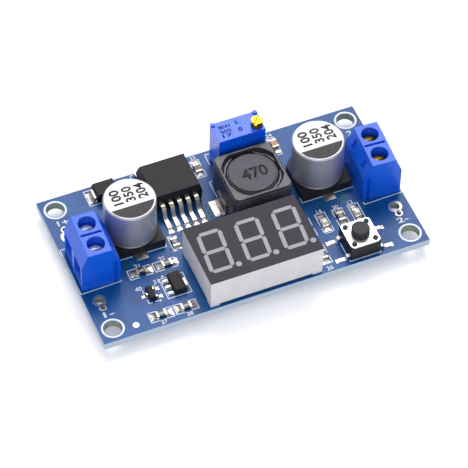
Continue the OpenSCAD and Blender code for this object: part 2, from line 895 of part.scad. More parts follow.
module button_lead_shapes() {
    for (end = [0, 180], y = [-1, 1]) rotate([0, 0, end]) translate([button_w / 2 - 0.5, y * button_lead_y, 0])
        across(button_lead_w)
            polygon(gull(button_lead_up, 0.5 + button_lead_out, button_foot, button_lead_t,
                button_lead_t, 70));
}

module button_leads() {
    color("silver") at_button() button_lead_shapes();
}

// ---------------------------------------------------------------- diode

module at_diode() {
    at_top([diode_x, diode_y]) children();
}

// Each lead leaves the body's end at mid height and folds down under it
module diode_lead_shapes() {
    reach = diode_l / 2 + diode_lead_out;
    for (end = [0, 180]) rotate([0, 0, end]) across(diode_lead_w) polygon([
        [diode_l / 2 - 0.3, diode_lead_up], [reach - 0.15, diode_lead_up], [reach, diode_lead_up - 0.15],
        [reach, 0], [reach - diode_lead_out - diode_lead_under, 0],
        [reach - diode_lead_out - diode_lead_under, diode_lead_t], [reach - diode_lead_t, diode_lead_t],
        [reach - diode_lead_t, diode_lead_up - diode_lead_t], [diode_l / 2 - 0.3, diode_lead_up - diode_lead_t]
    ]);
}

module diode_body() {
    color("#232226") at_diode() difference() {
        translate([0, 0, diode_base]) moulded(diode_l, diode_w, diode_h - diode_base, diode_lead_up, 0.25);
        diode_lead_shapes();
    }
}

module diode_leads() {
    color("silver") at_diode() diode_lead_shapes();
}

// ---------------------------------------------------------------- supply chip, transistor, controller

module supply_lead_shapes() {
    for (y = [-1:1])
        translate([-supply_size[0] / 2 - supply_lead_out, y * supply_lead_pitch - supply_lead_w / 2, 0])
            cube([supply_lead_out + 0.4, supply_lead_w, supply_lead_t]);
    translate([0.2, -supply_tab_w / 2, 0])
        cube([supply_size[0] / 2 + supply_tab_out - 0.2, supply_tab_w, supply_lead_t]);
}

module supply_chip_body() {
    color("#232226") at_top(supply_at) difference() {
        moulded(supply_size[0], supply_size[1], supply_size[2], supply_lead_t, 0.15);
        supply_lead_shapes();
    }
}

module supply_chip_leads() {
    color("silver") at_top(supply_at) supply_lead_shapes();
}

module transistor_lead_shapes() {
    for (lead = [[0, 1], [0, -1], [180, 0]])
        rotate([0, 0, lead[0]]) translate([transistor_size[0] / 2 - 0.2, lead[1] * transistor_lead_y, 0])
            across(transistor_lead_w)
                polygon(gull(transistor_lead_up, 0.2 + transistor_lead_out, transistor_foot,
                    transistor_lead_t, transistor_lead_t, 75));
}

module transistor_body() {
    color("#232226") at_top(transistor_at) difference() {
        translate([0, 0, 0.05])
            moulded(transistor_size[0], transistor_size[1], transistor_size[2], 0.5, 0.12);
        transistor_lead_shapes();
    }
}

module transistor_leads() {
    color("silver") at_top(transistor_at) transistor_lead_shapes();
}

module at_controller() {
    translate([ctrl_x, ctrl_y, 0]) rotate([180, 0, 0]) children();
}

module controller_lead_shapes() {
    for (end = [90, -90], column = [0:ctrl_columns - 1])
        rotate([0, 0, end])
            translate([ctrl_w / 2 - 0.2, (column - (ctrl_columns - 1) / 2) * ctrl_pitch, 0])
                across(ctrl_lead_w)
                    polygon(gull(ctrl_lead_up, 0.2 + ctrl_lead_out, ctrl_foot, ctrl_lead_t,
                        ctrl_lead_t, 75));
}

module controller_body() {
    color("#232226") at_controller() difference() {
        translate([0, 0, ctrl_gap]) moulded(ctrl_l, ctrl_w, ctrl_h, ctrl_h / 2, 0.12);
        controller_lead_shapes();
    }
}

module controller_leads() {
    color("silver") at_controller() controller_lead_shapes();
}

// ---------------------------------------------------------------- chip parts

// A chip lies along X: a body between two slightly proud metal ends
module chip(h, body_colour) {
    color(body_colour) {
        box([-chip_l / 2 + eps, -chip_w / 2, chip_cap_t], [chip_l / 2 - eps, chip_w / 2, h - chip_cap_t]);
        for (end = [-1, 1])
            translate([end * (chip_l - chip_end) / 2 - chip_end / 2, -chip_w / 2 - chip_cap_t, 0])
                cube([chip_end, chip_w + 2 * chip_cap_t, h]);
    }
}

module resistor() {
    chip(chip_h, "#2b2a2e");
}

module upright() {
    rotate([0, 0, 90]) children();
}

// A lamp is a chip with a clear block moulded over its middle
module lamp() {
    color("#e9e6cf") {
        box([-chip_l / 2, -chip_w / 2, 0], [chip_l / 2, chip_w / 2, lamp_base_h]);
        translate([0, 0, lamp_base_h - eps])
            moulded(lamp_lens_l, chip_w - 0.1, lamp_h - lamp_base_h + eps, 0.01, 0.12);
    }
}

module resistor_1() { at_top(resistor_1_at) resistor(); }
module resistor_2() { at_top(resistor_2_at) resistor(); }
module resistor_3() { at_top(resistor_3_at) upright() resistor(); }
module resistor_6() { at_top(resistor_6_at) upright() resistor(); }
module resistor_7() { at_top(resistor_7_at) resistor(); }
module resistor_8() { at_top(resistor_8_at) resistor(); }
module resistor_10() { at_top(resistor_10_at) upright() resistor(); }
module capacitor_3() { at_top(capacitor_3_at) upright() chip(chip_h, "#4a3c36"); }
module capacitor_4() { at_top(capacitor_4_at) upright() chip(ceramic_h, "#c9a67a"); }
module input_lamp() { at_top(input_lamp_at) upright() lamp(); }
module output_lamp() { at_top(output_lamp_at) upright() lamp(); }

// ---------------------------------------------------------------- pieces

circuit_board();
solder_joints();
input_block_housing();
input_block_contacts();
input_plus_clamp();
input_minus_clamp();
input_plus_screw();
input_minus_screw();
output_block_housing();
output_block_contacts();
output_plus_clamp();
output_minus_clamp();
output_plus_screw();
output_minus_screw();
input_capacitor_can();
input_capacitor_base();
input_capacitor_leads();
output_capacitor_can();
output_capacitor_base();
output_capacitor_leads();
regulator_body();
regulator_tab();
regulator_leads();
inductor_core();
inductor_shield();
inductor_winding();
inductor_terminals();
trimmer_housing();
trimmer_screw();
trimmer_pins();
display_housing();
display_face();
display_segments();
display_carrier();
display_pins();
button_base();
button_cover();
button_plunger();
button_dome();
button_leads();
diode_body();
diode_leads();
supply_chip_body();
supply_chip_leads();
transistor_body();
transistor_leads();
controller_body();
controller_leads();
resistor_1();
resistor_2();
resistor_3();
resistor_6();
resistor_7();
resistor_8();
resistor_10();
capacitor_3();
capacitor_4();
input_lamp();
output_lamp();
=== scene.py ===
# Step-down converter module with a three-digit voltage meter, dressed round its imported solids.
import json
import math

import bmesh
import bpy
from mathutils import Matrix, Vector, noise


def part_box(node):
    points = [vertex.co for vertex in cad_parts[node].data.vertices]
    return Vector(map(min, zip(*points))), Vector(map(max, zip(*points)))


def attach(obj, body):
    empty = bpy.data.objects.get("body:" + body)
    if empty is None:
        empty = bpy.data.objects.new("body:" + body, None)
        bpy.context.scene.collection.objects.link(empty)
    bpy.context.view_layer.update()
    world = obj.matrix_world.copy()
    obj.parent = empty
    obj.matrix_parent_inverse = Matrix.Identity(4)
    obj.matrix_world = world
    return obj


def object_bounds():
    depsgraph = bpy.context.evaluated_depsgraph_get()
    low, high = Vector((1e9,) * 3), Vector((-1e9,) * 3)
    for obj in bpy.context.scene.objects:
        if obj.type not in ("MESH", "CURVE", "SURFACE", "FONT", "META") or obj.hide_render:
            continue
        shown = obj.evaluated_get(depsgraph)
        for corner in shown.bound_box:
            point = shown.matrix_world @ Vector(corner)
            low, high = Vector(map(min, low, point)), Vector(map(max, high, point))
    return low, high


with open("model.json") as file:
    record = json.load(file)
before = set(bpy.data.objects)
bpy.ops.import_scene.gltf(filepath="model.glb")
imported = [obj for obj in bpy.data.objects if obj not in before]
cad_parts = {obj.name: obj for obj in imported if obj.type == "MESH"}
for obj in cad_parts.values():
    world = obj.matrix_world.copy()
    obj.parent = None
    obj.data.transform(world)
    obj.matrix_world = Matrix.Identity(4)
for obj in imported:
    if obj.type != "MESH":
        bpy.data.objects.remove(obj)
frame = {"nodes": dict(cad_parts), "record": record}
cad_low, cad_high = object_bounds()
nodes = frame["nodes"]
MM = 0.001

# ---------------------------------------------------------------- studio
# A long lens looks down from the front on the left. The module lies on a white table, under
# a large soft lamp behind it on the right, with a weaker one in front on the left.

scene = bpy.context.scene
scene.view_settings.view_transform = "Standard"
AIM = Vector((-0.893, -2.931, 1.6)) * MM
AZIMUTH, ELEVATION, ROLL = (math.radians(a) for a in (-23.882, 51.447, 1.508))
DISTANCE = 570.04 * MM
backward = Vector((math.sin(AZIMUTH) * math.cos(ELEVATION),
                   -math.cos(AZIMUTH) * math.cos(ELEVATION), math.sin(ELEVATION)))
level = Vector((0, 0, 1)).cross(backward).normalized()
upright = backward.cross(level)
right = level * math.cos(ROLL) + upright * math.sin(ROLL)
up = upright * math.cos(ROLL) - level * math.sin(ROLL)
camera = bpy.data.objects.new("camera", bpy.data.cameras.new("camera"))
scene.collection.objects.link(camera)
turned = Matrix((right, up, backward)).transposed().to_4x4()
camera.matrix_world = Matrix.Translation(AIM + backward * DISTANCE) @ turned
camera.data.lens = 231.78
camera.data.sensor_width = 36
camera.data.clip_start = 0.01
camera.data.clip_end = 20
scene.camera = camera


def put(tree, kind, inputs=None, **settings):
    """A node with its settings made, its sockets filled with values or wired to other sockets."""
    node = tree.nodes.new(kind)
    for key, value in settings.items():
        setattr(node, key, value)
    for key, value in (inputs or {}).items():
        if isinstance(value, bpy.types.NodeSocket):
            tree.links.new(value, node.inputs[key])
        else:
            node.inputs[key].default_value = value
    return node


def calc(tree, operation, a, b=0.5):
    """One step of arithmetic."""
    return put(tree, "ShaderNodeMath", {0: a, 1: b}, operation=operation).outputs[0]


def hue(code):
    """A colour from its six-digit screen code."""
    parts = [int(code[i:i + 2], 16) / 255 for i in (0, 2, 4)]
    return tuple(((p + 0.055) / 1.055) ** 2.4 if p > 0.04045 else p / 12.92 for p in parts) + (1,)


def seen_directly(tree):
    """1 for a ray from the eye, or one that a mirror or clear plastic sends on."""
    path = put(tree, "ShaderNodeLightPath")
    gloss = calc(tree, "MAXIMUM", path.outputs["Is Camera Ray"], path.outputs["Is Glossy Ray"])
    return calc(tree, "MAXIMUM", gloss, path.outputs["Is Transmission Ray"])


AMBIENT = 0.62
OVERHEAD = 0.3
world = bpy.data.worlds.new("studio")
scene.world = world
world.use_nodes = True
tree = world.node_tree
tree.nodes.clear()
height = put(tree, "ShaderNodeSeparateXYZ", {0: put(tree, "ShaderNodeTexCoord").outputs["Generated"]})
dusk = put(tree, "ShaderNodeMapRange", {"Value": height.outputs["Z"], "From Min": 0.1, "From Max": 0.7,
                                        "To Min": 1.0, "To Max": OVERHEAD}, interpolation_type="SMOOTHSTEP")
bright = calc(tree, "MAXIMUM", dusk.outputs[0], put(tree, "ShaderNodeLightPath").outputs["Is Camera Ray"])
strength = put(tree, "ShaderNodeMapRange", {"Value": seen_directly(tree), "To Min": AMBIENT, "To Max": bright})
sky = put(tree, "ShaderNodeBackground", {"Color": (0.985, 0.985, 1, 1), "Strength": strength.outputs[0]})
put(tree, "ShaderNodeOutputWorld", {"Surface": sky.outputs[0]})

for name, place, size, power, colour in (
    ("key", (0.2, 0.42, 0.58), 0.5, 4.2, (1, 0.99, 0.97)),
    ("fill", (-0.25, -0.6, 0.42), 0.5, 1.5, (0.95, 0.96, 1)),
):
    lamp = bpy.data.lights.new(name, "AREA")
    lamp.size = size
    lamp.energy = power
    lamp.color = colour
    holder = bpy.data.objects.new(name, lamp)
    holder.location = place
    holder.rotation_euler = (Vector(place) - AIM).to_track_quat("Z", "Y").to_euler()
    scene.collection.objects.link(holder)

table = bmesh.new()
bmesh.ops.create_grid(table, x_segments=8, y_segments=8, size=3)
bmesh.ops.translate(table, verts=table.verts, vec=(0, 0, cad_low[2]))
data = bpy.data.meshes.new("table_top")
table.to_mesh(data)
table_top = bpy.data.objects.new("table_top", data)
scene.collection.objects.link(table_top)
paper = bpy.data.materials.new("white_table")
paper.use_nodes = True
tree = paper.node_tree
tree.nodes.clear()
matt = put(tree, "ShaderNodeBsdfDiffuse", {"Color": (0.86, 0.86, 0.9, 1)})
glow = put(tree, "ShaderNodeEmission", {"Color": (0.97, 0.97, 1, 1),
                                        "Strength": calc(tree, "MULTIPLY", seen_directly(tree), 0.3)})
lit = put(tree, "ShaderNodeAddShader", {0: matt.outputs[0], 1: glow.outputs[0]})
put(tree, "ShaderNodeOutputMaterial", {"Surface": lit.outputs[0]})
data.materials.append(paper)

# ---------------------------------------------------------------- circuit board
# One sheet of glass-filled resin with copper under blue solder mask. Its edges are cut bare,
# and the walls of its holes are plated.

board_low, board_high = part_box("circuit_board")
BOARD_TOP = board_high.z
NEAR_EDGE = 0.1 * MM
mounts = {mount["name"]: mount for mount in frame["record"]["mounts"]}


def new_group(name, inputs, outputs):
    """An empty node group with its sockets declared, and what its input node gives."""
    group = bpy.data.node_groups.new(name, "ShaderNodeTree")
    for label, kind, value in inputs:
        socket = group.interface.new_socket(label, in_out="INPUT", socket_type="NodeSocket" + kind)
        if value is not None:
            socket.default_value = value
    for label, kind in outputs:
        group.interface.new_socket(label, in_out="OUTPUT", socket_type="NodeSocket" + kind)
    return group, group.nodes.new("NodeGroupInput").outputs


def mixed(tree, factor, a, b):
    """The second colour laid over the first by the factor."""
    return put(tree, "ShaderNodeMix", {0: factor, 6: a, 7: b}, data_type="RGBA").outputs[2]


grain_group, given = new_group(
    "surface_grain",
    (("Vector", "Vector", None), ("Fineness", "Float", 1000), ("Colour", "Color", (1, 1, 1, 1)),
     ("Shade", "Color", (0.5, 0.5, 0.5, 1)), ("Cover", "Float", 0.5), ("Rough low", "Float", 0.3),
     ("Rough high", "Float", 0.5)),
    (("Colour", "Color"), ("Roughness", "Float"), ("Height", "Float")))
tree = grain_group
close = put(tree, "ShaderNodeVectorMath", {0: given["Vector"], "Scale": given["Fineness"]}, operation="SCALE")
fine = put(tree, "ShaderNodeTexNoise", {"Vector": close.outputs[0], "Scale": 1.0, "Detail": 3.0,
                                        "Roughness": 0.6})
far = put(tree, "ShaderNodeVectorMath", {0: close.outputs[0], "Scale": 0.13}, operation="SCALE")
broad = put(tree, "ShaderNodeTexNoise", {"Vector": far.outputs[0], "Scale": 1.0, "Detail": 2.0})
patch = put(tree, "ShaderNodeMapRange", {"Value": broad.outputs[0], "From Min": 0.35, "From Max": 0.65,
                                         "To Max": given["Cover"]})
speck = put(tree, "ShaderNodeMapRange", {"Value": fine.outputs[0], "From Min": 0.3, "From Max": 0.7,
                                         "To Min": given["Rough low"], "To Max": given["Rough high"]})
put(tree, "NodeGroupOutput", {"Colour": mixed(tree, patch.outputs[0], given["Colour"], given["Shade"]),
                              "Roughness": speck.outputs[0], "Height": fine.outputs[0]})


def finish(name, colour, shade, rough, grain=0.3, bump=0.003, cover=0.5, build=None, edge=0.0, gloss=0.25,
           **sockets):
    """A shaded surface: colour mottled with shade, roughness varying between two values, and a
    texture of grain size and bump depth in millimetres. edge rounds the look of sharp corners by
    that radius, gloss is the strength of its mirror part, and build may lay more over the colour."""
    material = bpy.data.materials.new(name)
    material.use_nodes = True
    tree = material.node_tree
    tree.nodes.clear()
    where = put(tree, "ShaderNodeTexCoord").outputs["Object"]
    surface = put(tree, "ShaderNodeGroup", node_tree=grain_group)
    for key, value in (("Vector", where), ("Fineness", 1 / (grain * MM)), ("Colour", hue(colour)),
                       ("Shade", hue(shade)), ("Cover", cover),
                       ("Rough low", rough[0]), ("Rough high", rough[1])):
        if key == "Vector":
            tree.links.new(value, surface.inputs[key])
        else:
            surface.inputs[key].default_value = value
    relief = put(tree, "ShaderNodeBump", {"Height": surface.outputs["Height"], "Distance": bump * MM,
                                          "Strength": 1.0})
    if edge:
        rounded = put(tree, "ShaderNodeBevel", {"Radius": edge * MM}, samples=6)
        tree.links.new(rounded.outputs[0], relief.inputs["Normal"])
    shader = put(tree, "ShaderNodeBsdfPrincipled", {"Base Color": surface.outputs["Colour"],
                                                    "Roughness": surface.outputs["Roughness"],
                                                    "Normal": relief.outputs[0]})
    shader.inputs["Specular IOR Level"].default_value = gloss
    for key, value in sockets.items():
        shader.inputs[key.replace("_", " ").title().replace("Ior", "IOR")].default_value = value
    if build:
        build(tree, where, surface, shader)
    put(tree, "ShaderNodeOutputMaterial", {"Surface": shader.outputs[0]})
    return material


def dress(material, *names):
    """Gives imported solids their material."""
    for name in names:
        data = nodes[name].data
        data.materials.clear()
        data.materials.append(material)


def board_faces(tree, where, surface, shader):
    """Bare resin on the cut edges, plating on the walls of the holes."""
    facing = put(tree, "ShaderNodeSeparateXYZ", {0: put(tree, "ShaderNodeNewGeometry").outputs["Normal"]})
    upright = calc(tree, "LESS_THAN", calc(tree, "ABSOLUTE", facing.outputs["Z"]), 0.5)
    place = put(tree, "ShaderNodeSeparateXYZ", {0: where})
    end = calc(tree, "GREATER_THAN", calc(tree, "ABSOLUTE", place.outputs["X"]), board_high.x - NEAR_EDGE)
    side = calc(tree, "GREATER_THAN", calc(tree, "ABSOLUTE", place.outputs["Y"]), board_high.y - NEAR_EDGE)
    rim = calc(tree, "MAXIMUM", end, side)
    ply = put(tree, "ShaderNodeTexWave", {"Vector": where, "Scale": 1100.0, "Distortion": 2.0, "Detail": 2.0},
              bands_direction="Z")
    resin = mixed(tree, ply.outputs["Fac"], hue("9fb4c6"), hue("c8d6e0"))
    wall = mixed(tree, rim, hue("93a08f"), resin)
    tree.links.new(mixed(tree, upright, surface.outputs["Colour"], wall), shader.inputs["Base Color"])
    matt = put(tree, "ShaderNodeMapRange", {"Value": upright, "To Min": 0.22, "To Max": 0.55})
    varied = calc(tree, "MULTIPLY", surface.outputs["Roughness"], 0.3)
    tree.links.new(calc(tree, "ADD", matt.outputs[0], varied), shader.inputs["Roughness"])


dress(finish("blue_solder_mask", "0b5296", "08407e", (0.2, 0.4), grain=0.5, bump=0.0015, cover=0.8,
             build=board_faces), "circuit_board")

# ---------------------------------------------------------------- printed legend
# White epoxy ink screened on the solder mask: outlines where parts sit, rings round the
# mounting holes, and plain numbers beside the parts.

INK_Z = BOARD_TOP + 0.03 * MM
INK_DEPTH = 0.02 * MM


def point(x, y, z=0.0):
    return Vector((x * MM, y * MM, z))


def stroke(mesh, points, width=0.17, z=INK_Z):
    """A flat printed line of even width through the points, with mitred corners."""
    path = [point(*p) for p in points]
    rails = []
    for i, here in enumerate(path):
        back = (here - path[i - 1]).normalized() if i else None
        ahead = (path[i + 1] - here).normalized() if i + 1 < len(path) else back
        back = back or ahead
        across = Vector((-(back + ahead).y, (back + ahead).x, 0)).normalized()
        reach = width / 2 * MM / max(0.5, across.dot(Vector((-back.y, back.x, 0))))
        rails.append([mesh.verts.new(here + across * reach * s + Vector((0, 0, z))) for s in (1, -1)])
    for (a, b), (c, d) in zip(rails, rails[1:]):
        mesh.faces.new((a, b, d, c))


def bridge(mesh, inner, outer):
    """A band of faces between two rims of vertices."""
    near = dict.fromkeys(edge for v in inner + outer for edge in v.link_edges)
    rims = [edge for edge in near if (edge.verts[0] in inner) == (edge.verts[1] in inner)]
    bmesh.ops.bridge_loops(mesh, edges=rims)


def ring(mesh, x, y, inner, outer, z=INK_Z, steps=48):
    """A flat ring between two diameters."""
    centre = Matrix.Translation(point(x, y, z))
    bridge(mesh, *(bmesh.ops.create_circle(mesh, segments=steps, radius=across / 2 * MM, matrix=centre)["verts"]
                   for across in (inner, outer)))


def numeral(mesh, text, x, y, height, turn=0, z=INK_Z, width=None, bold=0.025):
    """Plain figures of a given height, and width if stated, centred on a point."""
    curve = bpy.data.curves.new("figures", "FONT")
    curve.body = text
    curve.resolution_u = 3
    curve.offset = bold
    holder = bpy.data.objects.new("figures", curve)
    flat = bpy.data.meshes.new_from_object(holder)
    bpy.data.objects.remove(holder)
    xs, ys = [v.co.x for v in flat.vertices], [v.co.y for v in flat.vertices]
    tall = height * MM / (max(ys) - min(ys))
    wide = width * MM / (max(xs) - min(xs)) if width else tall
    flat.transform(Matrix.Translation(point(x, y, z)) @ Matrix.Rotation(math.radians(turn), 4, "Z")
                   @ Matrix.Diagonal((wide, tall, 1, 1))
                   @ Matrix.Translation((-(max(xs) + min(xs)) / 2, -(max(ys) + min(ys)) / 2, 0)))
    mesh.from_mesh(flat)
    bpy.data.meshes.remove(flat)


def settle(name, mesh, material, body, depth=0.0, smooth=False):
    """Makes the mesh an object that moves with a body; flat shapes get a depth first."""
    bmesh.ops.remove_doubles(mesh, verts=mesh.verts, dist=0.0005 * MM)
    if depth:
        mesh.normal_update()
        bmesh.ops.reverse_faces(mesh, faces=[f for f in mesh.faces if f.normal.z < 0])
        bmesh.ops.solidify(mesh, geom=mesh.faces[:], thickness=depth)
    bmesh.ops.recalc_face_normals(mesh, faces=mesh.faces)
    data = bpy.data.meshes.new(name)
    mesh.to_mesh(data)
    mesh.free()
    data.materials.append(material)
    if smooth:
        data.shade_smooth()
    thing = bpy.data.objects.new(name, data)
    scene.collection.objects.link(thing)
    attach(thing, body)
    return thing


OUTLINES = (
    # terminal blocks
    ((-32.82, 5.65), (-32.85, -5.6), (-24.75, -5.45), (-24.7, 5.65), (-32.82, 5.65)),
    ((24.95, -5.0), (25.0, -5.6), (32.95, -5.45), (32.9, 5.6), (24.95, 5.6)),
    # capacitors
    ((-24.4, -0.75), (-20.73, -0.85)), ((-17.8, -0.87), (-13.85, -0.95), (-13.8, 0.25)),
    ((14.17, 0.4), (14.17, -0.85), (18.3, -0.82)), ((20.75, -0.8), (24.65, -0.78)),
    # inductor, trimmer, diode
    ((-0.42, 6.4), (-0.4, 10.5), (0.27, 10.55)), ((1.3, 14.5), (1.38, 17.15), (2.6, 17.15)),
    ((-22.0, 17.2), (-23.7, 17.2), (-23.7, 13.5), (-21.2, 13.5)),
    # chip parts: brackets open at their middles
    ((-21.2, -3.73), (-23.0, -3.73), (-23.0, -5.95), (-21.2, -5.95)),
    ((-19.9, -3.73), (-18.55, -3.73), (-18.55, -5.95), (-19.9, -5.95)),
    ((-16.1, -3.8), (-17.95, -3.8), (-17.95, -5.95), (-16.1, -5.95)),
    ((-14.8, -3.8), (-13.55, -3.8), (-13.55, -5.95), (-14.8, -5.95)),
    ((-21.5, -14.4), (-23.1, -14.4), (-23.1, -16.7), (-21.5, -16.7)),
    ((-20.1, -14.4), (-18.5, -14.4), (-18.5, -16.7), (-20.1, -16.7)),
    ((-16.4, -14.43), (-18.05, -14.43), (-18.05, -16.62), (-16.4, -16.62)),
    ((-15.1, -14.43), (-13.6, -14.43), (-13.6, -16.62), (-15.1, -16.62)),
    ((-12.2, 1.03), (-12.95, 1.03), (-12.95, -2.55), (-12.2, -2.55)),
    ((-2.1, 14.9), (-2.1, 16.6), (-0.25, 16.6), (-0.25, 14.9)),
    ((-2.1, 13.9), (-2.1, 12.2), (-0.25, 12.2), (-0.25, 13.9)),
    ((13.9, 13.6), (13.9, 11.9), (15.5, 11.9), (15.5, 13.6)),
    ((13.9, 15.0), (13.9, 16.4), (15.5, 16.4), (15.5, 15.0)),
    ((15.05, -7.4), (15.05, -4.45), (17.1, -4.45), (17.1, -7.4)),
    ((15.05, -7.9), (15.05, -9.05), (15.55, -9.35), (16.6, -9.35), (17.1, -9.05), (17.1, -7.9)),
    ((18.5, -6.4), (18.5, -4.64), (20.55, -4.64), (20.55, -6.4)),
    ((18.5, -7.0), (18.5, -8.75), (20.55, -8.75), (20.55, -7.0)),
    ((21.8, -8.9), (21.8, -4.62), (23.88, -4.62), (23.88, -8.9)),
    ((13.68, -14.3), (13.72, -16.05), (11.6, -16.08)),
    ((13.7, -4.57), (13.7, -6.58)), ((13.7, -7.27), (13.7, -9.23)), ((13.7, -11.56), (13.7, -13.57)),
    # supply chip and transistor
    ((-15.8, -7.75), (-18.13, -7.75), (-18.13, -12.6), (-13.4, -12.6), (-13.4, -7.75), (-14.4, -7.75)),
    ((-21.9, -8.95), (-22.0, -9.75), (-21.3, -9.75)), ((-19.9, -8.75), (-19.2, -8.75)),
    ((-21.9, -11.3), (-21.9, -12.3), (-21.2, -12.3)), ((-19.9, -12.3), (-20.7, -12.3)),
    # push button and regulator
    ((16.85, -12.4), (16.85, -15.7)), ((16.85, -16.9), (16.85, -17.2), (23.2, -17.2), (23.2, -16.9)),
    ((-13.95, 16.6), (-13.95, 17.65), (-13.1, 17.75)),
)
FIGURES = (
    # figures, centre, height
    ("21", (-20.75, -3.25), 0.96), ("22", (-15.8, -3.3), 0.96), ("31", (-18.8, -8.0), 1.02),
    ("40", (-22.5, -8.4), 1.02), ("27", (-20.8, -17.2), 0.96), ("28", (-15.7, -17.25), 0.96),
    ("26", (12.7, -17.15), 1.02), ("14", (16.2, -3.9), 0.96), ("30", (19.5, -4.1), 0.96),
    ("13", (22.6, -4.05), 0.96), ("23", (-1.15, 17.25), 0.90), ("24", (14.7, 17.05), 0.96),
)
POLES = (
    # sign of a terminal, centre, width
    ("1+", (-29.9, 11.7), 2.3), ("1-", (-29.7, -11.7), 2.1),
    ("2-", (30.2, -11.65), 2.3), ("2+", (30.2, 11.75), 2.4),
)
POLE_TALL = 1.3
HOLE_RING = (3.65, 4.45)
SPOT_R = 0.22
pattern = mounts["mounting_holes"]["dims"]
HOLE_X, HOLE_Y = pattern["spacing_x_mm"] / 2, pattern["spacing_y_mm"] / 2
HOLES = [(x, y) for x in (-HOLE_X, HOLE_X) for y in (-HOLE_Y, HOLE_Y)]
SPOTS = ((-17.3, -7.3), (-19.65, -12.4))

legend = bmesh.new()
for line in OUTLINES:
    stroke(legend, line)
for text, (x, y), height in FIGURES:
    numeral(legend, text, x, y, height)
for text, (x, y), width in POLES:
    numeral(legend, text, x, y, POLE_TALL, width=width)
for x, y in HOLES:
    ring(legend, x, y, *HOLE_RING)
for x, y in SPOTS:
    bmesh.ops.create_circle(legend, cap_ends=True, segments=20, radius=SPOT_R * MM,
                            matrix=Matrix.Translation(point(x, y, INK_Z)))
white_ink = finish("white_ink", "e9eef4", "c9d9e8", (0.45, 0.65), grain=0.12, bump=0.002, cover=0.5)
settle("printed_legend", legend, white_ink, "board", depth=INK_DEPTH)

# ---------------------------------------------------------------- pads and solder
# Copper pads left open in the mask and tinned, with a fillet of solder drawn up against the
# end of each part, rings round the wire holes, and vias under the mask.

PAD_Z = BOARD_TOP + 0.035 * MM
tin = finish("tinned_solder", "d2cecb", "8f8985", (0.2, 0.42), grain=0.25, bump=0.02, cover=0.9,
             metallic=0.9)


def fillet(mesh, x, y, length, width, turn, rise):
    """A solder-covered pad. The solder climbs towards local +X, where the part's end stands."""
    made = bmesh.ops.create_grid(mesh, x_segments=10, y_segments=8, size=0.5)["verts"]
    for v in made:
        u, w = v.co.x * 2, v.co.y * 2
        rim = (1 - w ** 4) * (1 if u > 0 else 1 - u ** 4)
        v.co.z = rim * (0.05 + rise * ((u + 1) / 2) ** 2.2)
        v.co.x, v.co.y, v.co.z = v.co.x * length, v.co.y * width, v.co.z
    turned = Matrix.Translation(point(x, y, PAD_Z)) @ Matrix.Rotation(math.radians(turn), 4, "Z")
    bmesh.ops.transform(mesh, matrix=turned @ Matrix.Scale(MM, 4), verts=made)


PADS = (
    # centre, length and width of the pad, turn of its inner side, how far the solder climbs
    (-21.95, -4.84, 1.5, 1.5, 0, 0.42), (-19.05, -4.84, 1.5, 1.5, 180, 0.42),
    (-16.8, -4.86, 1.5, 1.5, 0, 0.42), (-13.9, -4.86, 1.5, 1.5, 180, 0.42),
    (-22.2, -15.55, 1.5, 1.6, 0, 0.42), (-19.25, -15.55, 1.5, 1.6, 180, 0.42),
    (-17.25, -15.53, 1.5, 1.6, 0, 0.42), (-14.35, -15.53, 1.5, 1.6, 180, 0.42),
    (-12.05, 0.4, 0.9, 1.5, 270, 0.42), (-12.05, -2.0, 0.9, 1.5, 90, 0.42),
    (-1.25, 15.75, 1.3, 1.4, 270, 0.3), (-1.25, 13.05, 1.3, 1.4, 90, 0.3),
    (14.75, 15.5, 1.2, 1.3, 270, 0.4), (14.75, 13.0, 1.3, 1.3, 90, 0.4),
    (16.0, -5.5, 1.3, 1.4, 270, 0.25), (16.0, -8.4, 1.3, 1.4, 90, 0.25),
    (22.75, -5.6, 1.3, 1.4, 270, 0.25), (22.75, -8.5, 1.3, 1.4, 90, 0.25),
    (19.5, -5.3, 1.3, 1.4, 270, 0.4), (19.5, -8.2, 1.3, 1.4, 90, 0.4),
    (12.6, -15.35, 1.3, 1.5, 90, 0.4), (12.6, -12.6, 1.3, 1.5, 270, 0.4),
    (-19.4, -9.55, 1.1, 0.9, 180, 0.12), (-19.4, -11.45, 1.1, 0.9, 180, 0.12),
    (-22.2, -10.5, 1.1, 0.9, 0, 0.12),
    (-17.3, -8.65, 1.2, 0.8, 0, 0.2), (-17.3, -10.15, 1.2, 0.9, 0, 0.2), (-17.3, -11.65, 1.2, 0.8, 0, 0.2),
    (-13.85, -10.15, 0.9, 2.2, 180, 0.2),
)
LEAD_PITCH, MIDDLE_LEAD = 1.7, -8.25
LEAD_PADS = [(MIDDLE_LEAD + LEAD_PITCH * lead, 2.35, 1.5, 1.15, 90, 0.3) for lead in range(-2, 3)]
BUTTON_PADS = [(x, y, 2.1, 1.0, turn, 0.22) for x, turn in ((15.3, 0), (25.0, 180)) for y in (-11.8, -16.3)]
CAN_PADS = [(x, -1.3, 1.75, 2.4, 90, 0.15) for x in (-19.05, 19.45)]
DIODE_PAD = (-22.8, 15.25, 1.5, 2.6, 0, 0.5)
CLIP_PAD = (-1.5, 4.1, 2.0, 3.8, 0, 0.35)
pads = bmesh.new()
for pad in (*PADS, *LEAD_PADS, *BUTTON_PADS, *CAN_PADS, DIODE_PAD, CLIP_PAD):
    fillet(pads, *pad)
settle("solder_fillets", pads, tin, "board", smooth=True)

